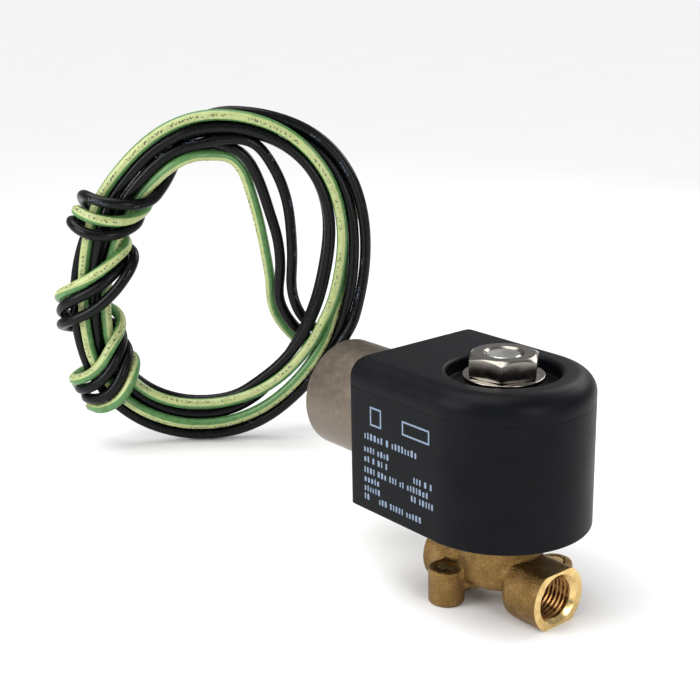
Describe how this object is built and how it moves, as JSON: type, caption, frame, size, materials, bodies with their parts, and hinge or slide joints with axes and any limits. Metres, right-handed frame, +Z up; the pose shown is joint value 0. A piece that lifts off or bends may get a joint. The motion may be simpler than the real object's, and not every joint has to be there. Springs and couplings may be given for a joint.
{
  "type": "solenoid valve",
  "caption": "Brass two-way solenoid valve with a black D-shaped moulded coil case, a side conduit hub, a top hex nut, and long lead wires tied in an upright coil.",
  "frame": {"origin": "centre of the two mounting holes, on the base plane under the valve axis", "axes": "+X out of the first port, +Z up the valve axis from the base to the top nut, +Y across the ports"},
  "size_m": [0.219, 0.0916, 0.121],
  "materials": {
    "forged_brass": "sand-blasted forging with bright machined ports",
    "stainless": "turned",
    "seal_rubber": "matt",
    "nickel_plate": "warm bright nickel plate",
    "copper": "bare copper",
    "case_plastic": "black moulded plastic, soft gloss, fine grain",
    "potting_resin": "cast resin",
    "bobbin_plastic": "moulded",
    "yoke_steel": "stamped",
    "satin_nickel": "satin nickel, slightly blotched",
    "tinned_copper": "tin plate",
    "black_insulation": "semi-gloss wire insulation with faint ink marks",
    "green_insulation": "semi-gloss green insulation with a yellow stripe"
  },
  "bodies": {
    "valve": {"valve_body": "forged_brass", "bonnet": "stainless", "bonnet_o_ring": "seal_rubber", "guide_tube": "stainless", "fixed_core": "nickel_plate", "shading_ring": "copper", "base_gasket": "seal_rubber"},
    "solenoid": {"lower_case": "case_plastic", "case_cover": "case_plastic", "potting": "potting_resin", "bobbin": "bobbin_plastic", "winding": "copper", "yoke_frame": "yoke_steel", "yoke_top_plate": "yoke_steel", "lower_flux_sleeve": "yoke_steel", "upper_flux_sleeve": "yoke_steel", "top_gasket": "seal_rubber", "lock_washer": "nickel_plate", "flat_washer": "nickel_plate", "conduit_hub": "satin_nickel", "hub_lock_ring": "satin_nickel", "lead_seal": "potting_resin", "lead_stubs": "black_insulation", "splice_sleeves": "tinned_copper", "ground_lug": "tinned_copper", "ground_screw": "stainless", "black_lead_1": "black_insulation", "black_lead_2": "black_insulation", "green_lead": "green_insulation", "lead_coil": "black_insulation", "lead_ends": "copper"},
    "plunger": {"plunger": "stainless", "seal_disc": "seal_rubber", "return_spring": "stainless"},
    "nut": {"hex_nut": "nickel_plate"}
  },
  "joints": [
    {"name": "plunger_stroke", "type": "slide", "parent": "valve", "child": "plunger", "axis": [0, 0, 1], "range_m": [0, 0.0012], "stiffness_N_per_m": 400, "springref_m": -0.004, "deforming": ["return_spring"]},
    {"name": "coil_swivel", "type": "hinge", "parent": "valve", "child": "solenoid", "pos_m": [0, 0, 0.044], "axis": [0, 0, 1], "continuous": true},
    {"name": "nut_turn", "type": "hinge", "parent": "valve", "child": "nut", "pos_m": [0, 0, 0.068], "axis": [0, 0, 1], "continuous": true}
  ]
}
